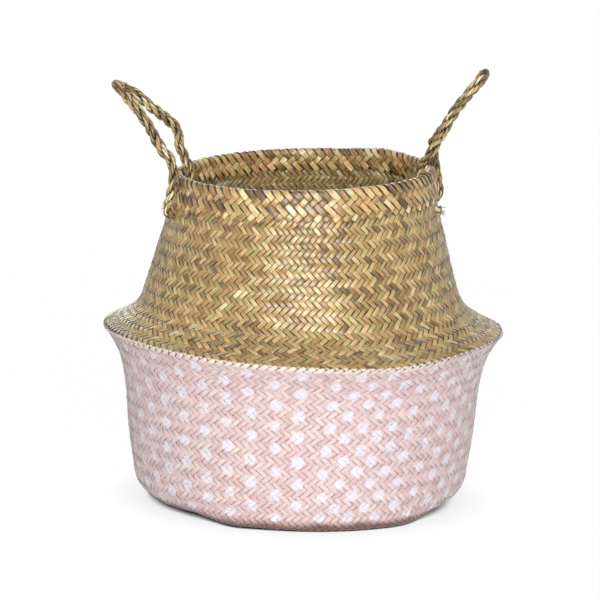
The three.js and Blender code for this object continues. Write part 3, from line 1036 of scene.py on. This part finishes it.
class BASKET_OT_neck(Operator):
    """Plaits the natural wall: the shoulder, and the neck on the body called neck"""
    bl_idname = "basket.neck"
    bl_label = "Natural Neck"

    def execute(self, context):
        finish = material("seagrass_natural", seagrass, tinted(SEAGRASS, "grass"))
        shoulder_top, top_height = edge_at_height(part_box("shoulder")[1].z, True)
        _, foot_height = edge_at_height(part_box("fold_edge")[1].z, True)
        shoulder = make_wall("shoulder_weave", FOLD_ROWS, shoulder_top, (1, -1), finish,
                             ["shoulder"])
        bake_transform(shoulder)
        for name, family in (("neck_rising_strands", 1), ("neck_falling_strands", -1)):
            made = make_wall(name, shoulder_top, None, (family,), finish, ["neck_wall"])
            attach(made, "neck")
        return {"FINISHED"}


class BASKET_OT_hem(Operator):
    """Plaits the folded hem from wider strands, up the outside, over the rim and down the inside"""
    bl_idname = "basket.hem"
    bl_label = "Folded Hem"

    def execute(self, context):
        stops = tinted(HEM_GRASS, "grass")
        finish = material("seagrass_hem", seagrass, stops, darkness=0.96, contrast=1.45, border=0.29)
        plait = hem_plait()
        bundle = Bundle("hem_weave")
        for family in (1, -1):
            plait.weave(bundle, family, 0, len(plait.edges) - 1, step=0.13, trim=ragged_ends)
        made = finish_piece(bundle.build(), finish, ["hem_outer", "rim_edge", "hem_inner"])
        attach(made, "neck")
        return {"FINISHED"}


def wall_radius_at(height):
    """The radius of the neck's outer face at a height."""
    line = outer_line()
    above = line.points[:, 1] > FOLD_HEIGHT + 0.02
    return float(np.interp(height, line.points[above, 1], line.points[above, 0]))


def foot_points(side):
    """From the rope's end, through the hole, round an elbow and up along the hem, with X outwards."""
    angle = FOOT_ANGLES[side]
    face = SEAM + HEM_THICKNESS + ROPE_SEAT + ROPE_RADIUS
    inner_face = WALL_THICKNESS if side < 0 else 0.0

    def seat(height):
        return wall_radius_at(height) + side * face - inner_face

    def at_foot(radius, height):
        return (radius * math.cos(angle), side * radius * math.sin(angle), height)

    elbow_height = HOLE_HEIGHT + ELBOW_RADIUS
    elbow_middle = seat(elbow_height) - side * ELBOW_RADIUS
    wall_face = wall_radius_at(HOLE_HEIGHT) - (WALL_THICKNESS if side > 0 else 0)
    points = [at_foot(wall_face - side * TAIL_LENGTH, HOLE_HEIGHT)]
    for i in range(ELBOW_STEPS + 1):
        turn = i / ELBOW_STEPS * math.pi / 2
        radius = elbow_middle + side * ELBOW_RADIUS * math.sin(turn)
        points.append(at_foot(radius, elbow_height - ELBOW_RADIUS * math.cos(turn)))
    points.append(at_foot(seat(FOOT_TOP), FOOT_TOP))
    return points


def leg_points(side, reach, lean, bows):
    """One leg of a loop, from the end of its bend to just short of the apex."""
    along = np.array([math.sin(lean), 0, math.cos(lean)])
    across = np.array([math.cos(lean), 0, -math.sin(lean)])
    points = []
    for share, width, bow in zip(LEG_HEIGHTS, LEG_WIDTHS, bows):
        hinge = np.array([HINGE_RADIUS, side * LOOP_WIDTH * width / 2, RIM_TOP])
        points.append(hinge + along * share * reach + across * bow)
    return points


def handle_route(reach, lean, outer, inner):
    """The middle of a handle's rope, from its outer cut end over the apex to its inner one."""
    apex = (HINGE_RADIUS + reach * math.sin(lean), 0, RIM_TOP + reach * math.cos(lean))
    outer_half = foot_points(1) + leg_points(1, reach, lean, outer)
    inner_half = foot_points(-1) + leg_points(-1, reach, lean, inner)
    return np.array([*outer_half, apex, *reversed(inner_half)], float)


def centripetal(points, steps=24):
    """A centripetal spline through points in space."""
    ends = [2 * points[0] - points[1], *points, 2 * points[-1] - points[-2]]
    places = []
    for i in range(1, len(ends) - 2):
        before, first, second, after = ends[i - 1], ends[i], ends[i + 1], ends[i + 2]
        stretches = ((before, first), (first, second), (second, after))
        gaps = [math.sqrt(np.linalg.norm(b - a)) for a, b in stretches]
        middle = gaps[1]
        slope = (second - first) / middle
        start = ((first - before) / gaps[0] - (second - before) / (gaps[0] + middle) + slope) * middle
        end = (slope - (after - first) / (middle + gaps[2]) + (after - second) / gaps[2]) * middle
        for t in np.arange(steps) / steps:
            cubic = 2 * first - 2 * second + start + end
            square = -3 * first + 3 * second - 2 * start - end
            places.append(cubic * t**3 + square * t**2 + start * t + first)
    places.append(points[-1])
    return np.array(places)


def evenly(points, step):
    """Points at even steps along a path, and how far along it each of them is."""
    walked = np.concatenate([[0], np.cumsum(np.linalg.norm(np.diff(points, axis=0), axis=1))])
    at = np.linspace(0, walked[-1], int(walked[-1] / step) + 1)
    return at, np.stack([np.interp(at, walked, points[:, i]) for i in range(3)], 1)


def carried_frames(points):
    """A path's direction at each place, and two directions square to it that don't spin about it."""
    run = unit(np.gradient(points, axis=0))
    side = unit(np.cross(run[0], (0, 1, 0.1)))
    sides = [side]
    for direction in run[1:]:
        side = side - direction * np.dot(side, direction)
        side = side / np.linalg.norm(side)
        sides.append(side)
    sides = np.array(sides)
    return run, sides, np.cross(run, sides)


class BASKET_OT_handles(Operator):
    """Twists each handle's rope from its plies and threads it through the wall under the hem"""
    bl_idname = "basket.handles"
    bl_label = "Rope Handles"

    def execute(self, context):
        stops = tinted(ROPE_GRASS, "rope")
        finish = material("seagrass_rope", seagrass, stops, darkness=0.97, roughness=0.55, contrast=1.3)
        for number, (side_name, data) in enumerate(HANDLES.items()):
            random = np.random.default_rng(SEEDS["rope"] + number)
            route = handle_route(data["reach"], data["lean"], data["outer"], data["inner"])
            turn = np.array(Matrix.Rotation(data["turn"], 3, "Z"))
            bundle = Bundle(f"handle_{side_name}_rope")
            self.lay_rope(bundle, centripetal(route) @ turn.T, context.scene.basket.rope, random)
            body = f"handle_{side_name}"
            parts = ("loop", "outer_bend", "inner_bend", "outer_foot", "inner_foot")
            nodes = [f"{body}_{part}" for part in parts]
            made = finish_piece(bundle.build(), finish, nodes)
            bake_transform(made)
        return {"FINISHED"}

    def lay_rope(self, bundle, path, rope, random):
        """Lays the strands of every ply along a path, and the fibres that stand off them."""
        at, points = evenly(path, ROPE_STEP)
        run, first, second = carried_frames(points)

        def waver(knots, low, high):
            return np.interp(at, np.linspace(0, at[-1], knots), random.uniform(low, high, knots))

        wander = waver(20, -0.8, 0.8)
        for ply in range(rope.plies):
            angle = FULL_TURN * (at / rope.pitch + ply / rope.plies) + wander + waver(30, -0.25, 0.25)
            fat = waver(30, 0.86, 1.1)
            out = first * np.cos(angle)[:, None] + second * np.sin(angle)[:, None]
            ply_middle = points + out * (rope.ply_offset * waver(24, 0.9, 1.08))[:, None]
            ply_tone = random.uniform(0.1, 0.75)
            for strand in range(rope.ply_strands):
                own = FULL_TURN * (strand + random.uniform(-0.2, 0.2)) / rope.ply_strands
                own = own - FULL_TURN * at / rope.ply_twist
                radial = first * np.cos(own)[:, None] + second * np.sin(own)[:, None]
                centre = ply_middle + radial * (rope.ply_radius * 0.66 * fat)[:, None]
                loose = LOOSENESS * np.stack([waver(60, -1, 1) for _ in range(3)], 1)
                centre = settle((centre + loose)[None])
                width = random.uniform(*ROPE_STRAND_WIDTHS)
                tone = 0.3 * ply_tone + 0.55 * random.random() + 0.3 * waver(24, 0, 1)
                # How far a strand faces the rope's core; the painted shade of the hollows darkens it there
                hidden = 0.5 - 0.5 * np.sum(radial * out, 1)
                bundle.add(centre, radial[None], width, ROPE_STRAND_THICKNESS, tone=tone[None],
                           seed=random.random(), dive=(hidden * 1.2)[None])
        self.stray_hairs(bundle, points, run, random)

    def stray_hairs(self, bundle, points, run, random):
        """Fine broken fibres that stand off the rope, longest at its two cut ends."""
        for _ in range(HAIRS):
            i = int(random.integers(4, len(points) - 4))
            self.hair(bundle, points[i], run[i], random, random.uniform(*HAIR_LENGTHS), ROPE_RADIUS * 0.95)
        for end, heading in ((0, -1), (-1, 1)):
            for _ in range(HAIRS):
                self.hair(bundle, points[end], run[end] * heading * 3, random,
                          random.uniform(*HAIR_LENGTHS), 0.003)

    def hair(self, bundle, root, heading, random, length, stand_off):
        """One broken fibre, which leaves the rope, droops and thins to its tip."""
        aside = unit(np.cross(heading, unit(random.normal(size=3))))
        start = root + aside * stand_off * random.uniform(0.7, 0.95)
        direction = unit(unit(heading) * random.choice([0.9, 1.3]) + aside * random.uniform(0.25, 0.6))
        share = np.linspace(0, 1, HAIR_RINGS)[:, None]
        sag = np.array([0, 0, -0.25]) * share**2 + aside * 0.15 * share**2
        centre = settle((start + direction * share * length + sag * length)[None])
        normal = np.broadcast_to(unit(np.cross(direction, aside)), centre.shape)
        taper = np.linspace(*HAIR_WIDTHS, HAIR_RINGS)[None]
        bundle.add(centre, normal, taper, taper, tone=random.uniform(0.5, 1), seed=random.random(), dive=0.2)


class BASKET_OT_stage(Operator):
    """Sets up the camera, the lamps, the white surroundings and the floor"""
    bl_idname = "basket.stage"
    bl_label = "Stage"

    def execute(self, context):
        stage = context.scene.basket.stage
        context.scene.view_settings.view_transform = "Standard"
        self.camera(context, stage)
        self.lamps(stage)
        self.world(context, stage)
        self.floor(stage)
        return {"FINISHED"}

    def camera(self, context, stage):
        data = bpy.data.cameras.new("camera")
        data.lens = stage.lens
        data.sensor_width = SENSOR_WIDTH
        data.clip_end = FAR_CLIP
        made = bpy.data.objects.new("camera", data)
        context.scene.collection.objects.link(made)
        back = Vector((0, -math.cos(stage.elevation), math.sin(stage.elevation)))
        facing = back.to_track_quat("Z", "Y").to_matrix() @ Matrix.Rotation(stage.roll, 3, "Z")
        per_pixel = stage.distance * SENSOR_WIDTH / stage.lens / IMAGE_SIDE
        aside = Vector((-stage.centre_x * per_pixel, stage.centre_y * per_pixel, 0))
        place = AIM + back * stage.distance + facing @ aside
        made.matrix_world = Matrix.Translation(place) @ facing.to_4x4()
        context.scene.camera = made

    def lamps(self, stage):
        lamps = [
            ("key", (0.15, -3.8, 1.3), 1.2, stage.key_power),
            ("top", (0.0, -1.2, 3.4), 1.6, stage.top_power),
            ("back", (-0.3, 3.8, 1.3), 2.4, stage.back_power),
        ]
        for name, place, size, power in lamps:
            data = bpy.data.lights.new(name, "AREA")
            data.energy = power
            data.size = size
            made = bpy.data.objects.new(name, data)
            bpy.context.scene.collection.objects.link(made)
            made.location = place
            made.rotation_euler = (Vector(place) - AIM).to_track_quat("Z", "Y").to_euler()

    def world(self, context, stage):
        world = bpy.data.worlds.new("surroundings")
        context.scene.world = world
        shader = Shader(world)
        brightness = {"Value": shader.seen_plainly(), "To Min": stage.surroundings}
        strength = shader.node("ShaderNodeMapRange", None, brightness)
        background = shader.node("ShaderNodeBackground", None, {"Color": WHITE, "Strength": strength})
        shader.node("ShaderNodeOutputWorld", None, {"Surface": background})

    def floor(self, stage):
        """A white floor that seems to glow, with a painted shadow: dark under the basket and softly grey
        beside its foot.
        """
        corners = [(x * FLOOR_REACH, y * FLOOR_REACH, 0) for x, y in ((-1, -1), (1, -1), (1, 1), (-1, 1))]
        mesh = bpy.data.meshes.new("floor")
        mesh.from_pydata(corners, [], [(0, 1, 2, 3)])
        made = bpy.data.objects.new("floor", mesh)
        bpy.context.scene.collection.objects.link(made)
        shader = Shader(bpy.data.materials.new("floor_white"))
        plain = shader.node("ShaderNodeBsdfDiffuse", None, {"Color": (0.86, 0.86, 0.86, 1)})
        reach = {"Distance": CONTACT_REACH}
        # Painted contact shadow: the glow fades where the basket closes the floor in
        open_share = shader.node("ShaderNodeAmbientOcclusion", {"samples": 16}, reach, output="AO")
        light = (open_share * 0.18 + 0.82) * open_share.between(0.03, 0.3)
        glow = shader.node("ShaderNodeEmission", None, {"Color": shader.grey(light), "Strength": 1.0})
        share = shader.seen_plainly() * stage.floor_glow
        both = shader.node("ShaderNodeMixShader", None, {0: share, 1: plain, 2: glow})
        mesh.materials.append(shader.finished(both))


class BasketShape(PropertyGroup):
    """How the basket strays from a true turned shape"""
    fold_sag: FloatProperty(name="Fold Sag", description="How far the fold sags, right of the front",
                            default=0.004, precision=4, unit="LENGTH")
    neck_lean: FloatProperty(name="Neck Lean", description="How far the neck and the rim sit to the side",
                             default=-0.0026, precision=4, unit="LENGTH")
    heel_press: FloatProperty(name="Heel Press",
                              description="How far the front of the heel is pressed out at the floor",
                              default=0.019, precision=4, unit="LENGTH")
    rim_tilt: FloatProperty(name="Rim Tilt", description="How far the rim leans, right side up",
                            default=math.radians(2.2), unit="ROTATION")
    unevenness: FloatProperty(name="Unevenness", description="How far the wall strays from round",
                              default=0.0007, precision=4, unit="LENGTH")
    heel_lift: FloatProperty(name="Heel Lift",
                             description="How far the heel rises between its contact places",
                             default=0.002, precision=4, unit="LENGTH")


class BasketWeave(PropertyGroup):
    """The strands of the wall and of the hem"""
    strands: IntProperty(name="Strands", description="Strands in each family of the wall", default=136)
    strand_width: FloatProperty(name="Strand Width", description="Width of a strand of the wall",
                                default=0.0045, precision=4, unit="LENGTH")
    fill: FloatProperty(name="Fill", description="Share of its room that a strand of the wall takes",
                        default=0.97, subtype="FACTOR")
    hem_fill: FloatProperty(name="Hem Fill", description="Share of its room that a strand of the hem takes",
                            default=0.925, subtype="FACTOR")
    hem_strands: IntProperty(name="Hem Strands", description="Strands in each family of the hem", default=88)
    hem_row: FloatProperty(name="Hem Row", description="Height of one row of the hem",
                           default=0.0089, precision=4, unit="LENGTH")


class BasketColours(PropertyGroup):
    """The colours of the grass and of the paint, and of the shade painted into them"""
    grass: FloatVectorProperty(name="Grass", description="Middle shade of the natural strands",
                               default=linear(SEAGRASS[4][1]), subtype="COLOR")
    rope: FloatVectorProperty(name="Rope", description="Middle shade of the rope's strands",
                              default=linear(ROPE_GRASS[3][1]), subtype="COLOR")
    pink: FloatVectorProperty(name="Pink", description="Middle shade of the paint",
                              default=linear(PINKS[2][1]), subtype="COLOR")
    dots: FloatVectorProperty(name="Dots", description="The painted dots",
                              default=linear((241, 238, 247)), subtype="COLOR")
    # Paler paint along the top row under the fold
    crest: FloatVectorProperty(name="Crest", description="Worn paint along the fold",
                               default=linear((246, 234, 220)), subtype="COLOR")
    # Painted shade low on the belly, where the heel turns under
    low_band_shade: FloatVectorProperty(name="Low Band", description="Darker paint low on the belly",
                                  default=linear((186, 144, 138)), subtype="COLOR")
    # Painted shadow along the heel's bottom, next to the floor
    foot_shadow: FloatVectorProperty(name="Scuffed Foot",
                                      description="Scuffs where the heel meets the floor",
                                      default=linear((84, 58, 50)), subtype="COLOR")
    # Painted shade for the hollows between strands
    hollow_shade_colour: FloatVectorProperty(name="Crevices", description="Paint in the hollows between strands",
                                  default=linear((150, 106, 98)), subtype="COLOR")
    # Painted shade along the strands' edges
    strand_edge_shade: FloatVectorProperty(name="Strand Edges", description="Thin paint along a strand's edges",
                                      default=linear((128, 88, 80)), subtype="COLOR")


class BasketPaint(PropertyGroup):
    """Where the painted dots stand"""
    dot_columns: IntProperty(name="Dot Columns",
                             description="Columns of dots in each of the two staggered sets",
                             default=22)
    dot_spacing: FloatProperty(name="Dot Spacing", description="Distance down a column of dots",
                               default=0.0207, precision=4, unit="LENGTH")
    dot_diameter: FloatProperty(name="Dot Diameter", description="Diameter of a dot",
                                default=0.0098, precision=4, unit="LENGTH")
    dot_stray: FloatProperty(name="Dot Stray", description="How far dots stray from their rows",
                             default=0.0024, precision=4, unit="LENGTH")
    dot_shear: FloatProperty(name="Dot Shear",
                             description="Columns of shift per metre down, right of the front",
                             default=3.6)
    first_dots: FloatProperty(name="First Dots", description="Distance from the fold to the first dots",
                              default=0.0207, precision=4, unit="LENGTH")
    last_dots: FloatProperty(name="Last Dots",
                             description="Distance from the fold past which no dot is painted",
                             default=0.15, precision=4, unit="LENGTH")


class BasketRope(PropertyGroup):
    """The twist of the handles' ropes"""
    plies: IntProperty(name="Plies", description="Plies twisted into the rope", default=3)
    pitch: FloatProperty(name="Rope Pitch", description="Length of one turn of the rope's plies",
                         default=0.034, precision=4, unit="LENGTH")
    ply_offset: FloatProperty(name="Ply Offset", description="From the rope's middle to a ply's middle",
                              default=0.0024, precision=4, unit="LENGTH")
    ply_radius: FloatProperty(name="Ply Radius", description="Radius of one ply",
                              default=0.0023, precision=4, unit="LENGTH")
    ply_strands: IntProperty(name="Ply Strands", description="Strands twisted into one ply", default=6)
    ply_twist: FloatProperty(name="Ply Twist", description="Length of one turn of a ply's strands",
                             default=0.045, precision=4, unit="LENGTH")


class BasketStage(PropertyGroup):
    """The camera, the lamps and the white around the basket"""
    lens: FloatProperty(name="Lens", description="Focal length of the camera in millimetres",
                        default=356.6, unit="CAMERA")
    distance: FloatProperty(name="Distance", description="From the camera to the basket's middle",
                            default=5.2, unit="LENGTH")
    elevation: FloatProperty(name="Elevation", description="Height of the camera above level",
                             default=math.radians(11), unit="ROTATION")
    roll: FloatProperty(name="Roll", description="Roll of the camera",
                        default=math.radians(1.45), unit="ROTATION")
    centre_x: FloatProperty(name="Centre X",
                            description="Pixels from the image's middle to the basket's axis",
                            default=3.5, subtype="PIXEL")
    centre_y: FloatProperty(name="Centre Y", description="Pixels from the image's middle down to mid-height",
                            default=28.0, subtype="PIXEL")
    key_power: FloatProperty(name="Key Power", description="Power of the lamp in front",
                             default=144, unit="POWER")
    top_power: FloatProperty(name="Top Power", description="Power of the lamp above",
                             default=4, unit="POWER")
    back_power: FloatProperty(name="Back Power", description="Power of the lamp behind",
                              default=60, unit="POWER")
    surroundings: FloatProperty(name="Surroundings", description="Light from all around",
                                default=0.12, subtype="FACTOR")
    floor_glow: FloatProperty(name="Floor Glow",
                              description="Share of the floor's white that is seen as such",
                              default=0.985, subtype="FACTOR")


class BasketSettings(PropertyGroup):
    """Every setting of the basket, by group"""
    shape: PointerProperty(type=BasketShape)
    weave: PointerProperty(type=BasketWeave)
    colours: PointerProperty(type=BasketColours)
    paint: PointerProperty(type=BasketPaint)
    rope: PointerProperty(type=BasketRope)
    stage: PointerProperty(type=BasketStage)


OPERATORS = (
    BASKET_OT_stage, BASKET_OT_base_mat, BASKET_OT_belly, BASKET_OT_neck, BASKET_OT_hem, BASKET_OT_handles,
)


class BASKET_PT_panel(Panel):
    """Lists the basket's makers and their sizes"""
    bl_idname = "BASKET_PT_panel"
    bl_label = "Seagrass Basket"
    bl_space_type = "VIEW_3D"
    bl_region_type = "UI"
    bl_category = "Basket"

    def draw(self, context):
        settings = context.scene.basket
        for group in ("shape", "weave", "colours", "paint", "rope", "stage"):
            box = self.layout.box()
            box.label(text=group.capitalize())
            values = getattr(settings, group)
            for name in values.bl_rna.properties.keys():
                if name not in ("rna_type", "name"):
                    box.prop(values, name)
        for maker in OPERATORS:
            self.layout.operator(maker.bl_idname)


GROUPS = (BasketShape, BasketWeave, BasketColours, BasketPaint, BasketRope, BasketStage, BasketSettings)


def register():
    for item in (*GROUPS, *OPERATORS, BASKET_PT_panel):
        bpy.utils.register_class(item)
    bpy.types.Scene.basket = PointerProperty(type=BasketSettings)


def unregister():
    del bpy.types.Scene.basket
    for item in reversed((*GROUPS, *OPERATORS, BASKET_PT_panel)):
        bpy.utils.unregister_class(item)


def main():
    register()
    bpy.ops.basket.stage()
    bpy.ops.basket.base_mat()
    bpy.ops.basket.belly()
    bpy.ops.basket.neck()
    bpy.ops.basket.hem()
    bpy.ops.basket.handles()


if __name__ == "__main__":
    main()
